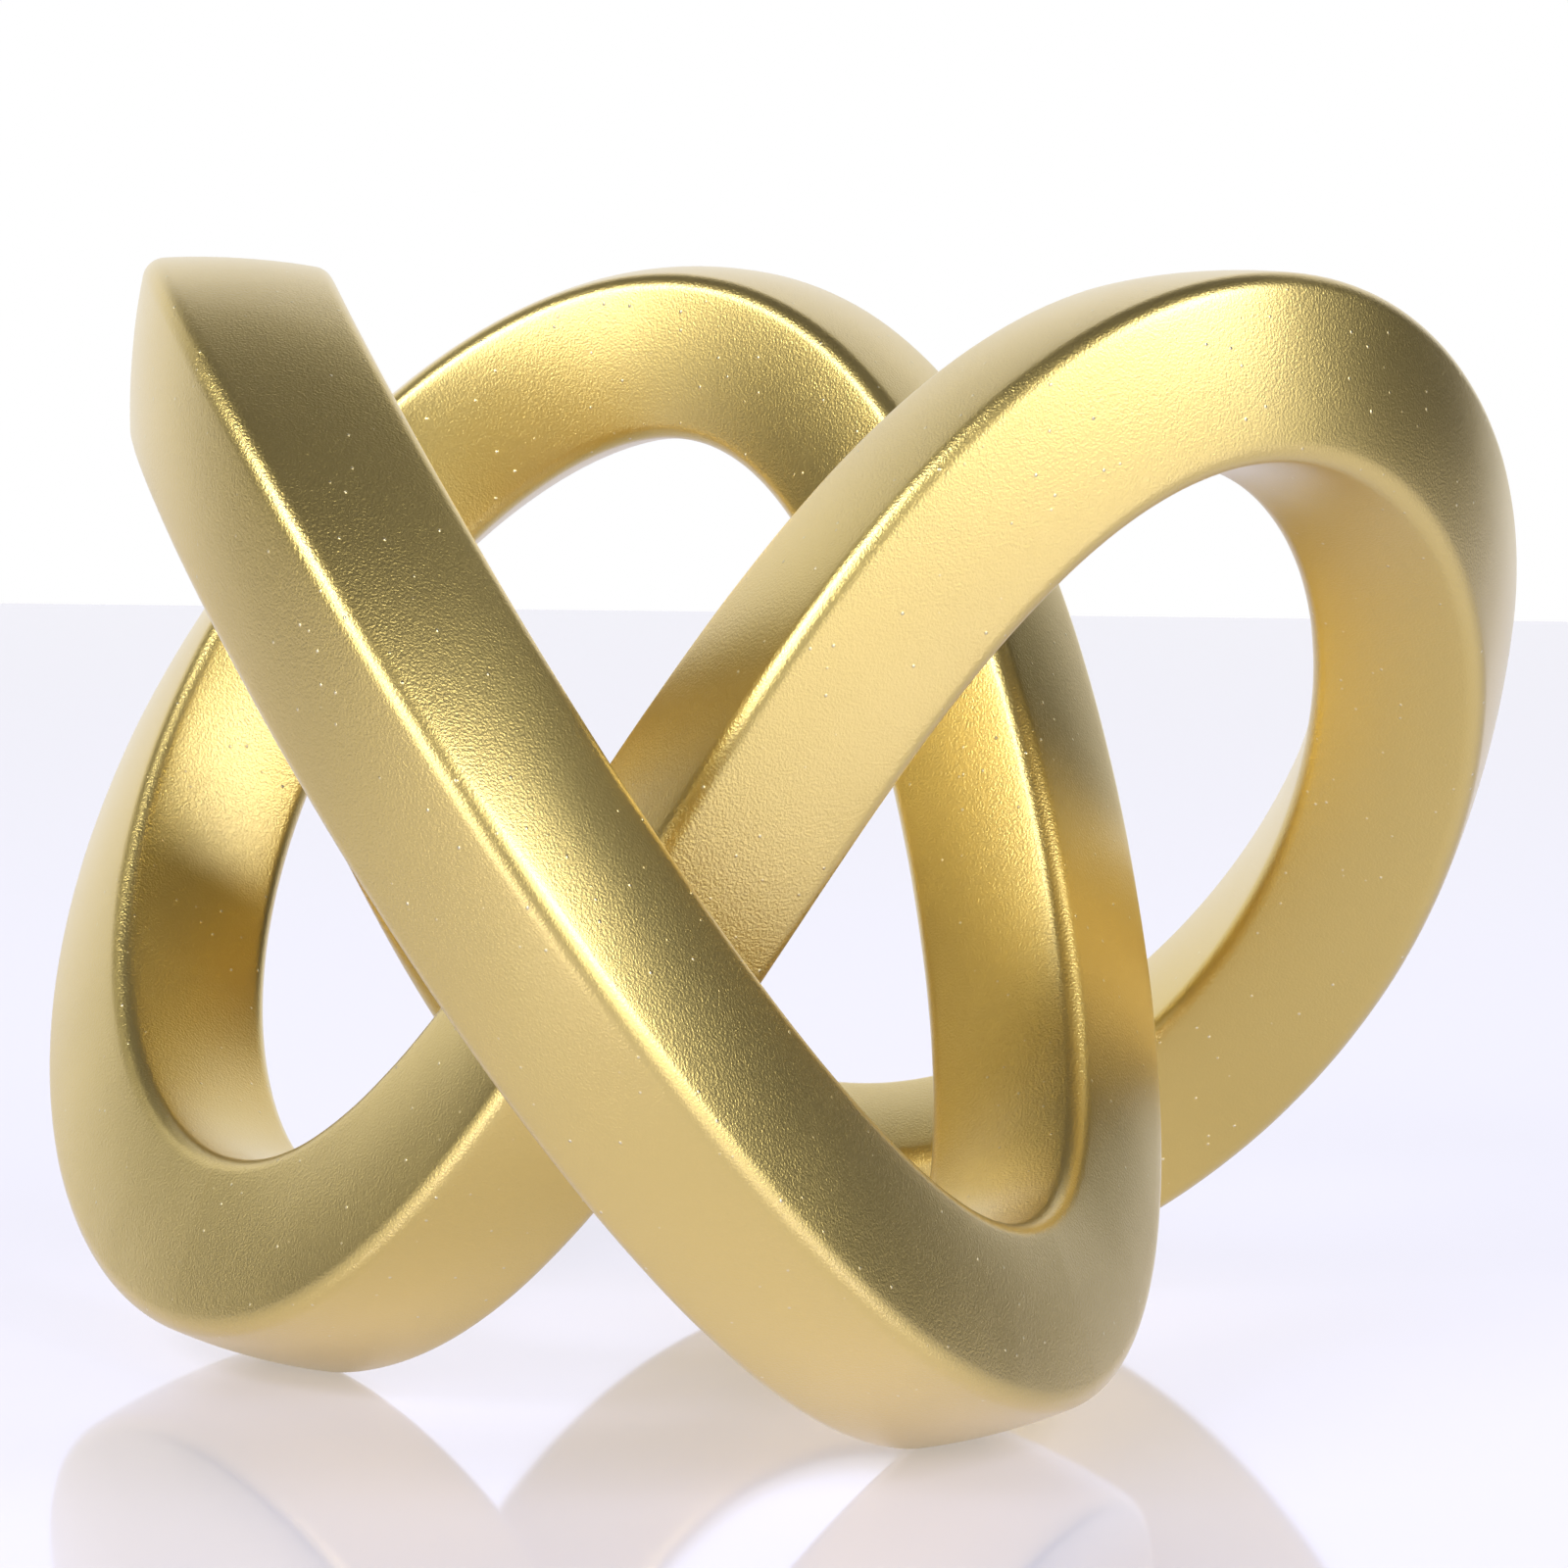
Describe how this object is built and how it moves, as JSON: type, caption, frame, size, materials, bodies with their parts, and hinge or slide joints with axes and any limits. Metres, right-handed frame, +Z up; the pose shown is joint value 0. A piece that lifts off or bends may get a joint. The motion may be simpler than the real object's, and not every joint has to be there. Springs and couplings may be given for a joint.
{
  "type": "knot sculpture",
  "caption": "Free-standing trefoil knot ornament, a square bar on its corner tied in an endless knot, cast in like arms pinned together at the feet.",
  "frame": {"origin": "middle of the knot's outline seen from above, on the surface that it stands on", "axes": "+Z up along the knot's three-fold axis; -Y towards the pictured front; +X to the right seen from the front"},
  "size_m": [0.1502, 0.1502, 0.1087],
  "materials": {
    "gold_paint": "satin metallic gold paint with a fine orange peel",
    "dowel_steel": "ground steel"
  },
  "bodies": {
    "root": {"rear_arm": "gold_paint", "right_arm": "gold_paint", "left_arm": "gold_paint", "right_foot_outer_dowel": "dowel_steel", "right_foot_inner_dowel": "dowel_steel", "left_foot_outer_dowel": "dowel_steel", "left_foot_inner_dowel": "dowel_steel", "back_foot_outer_dowel": "dowel_steel", "back_foot_inner_dowel": "dowel_steel"}
  },
  "joints": []
}
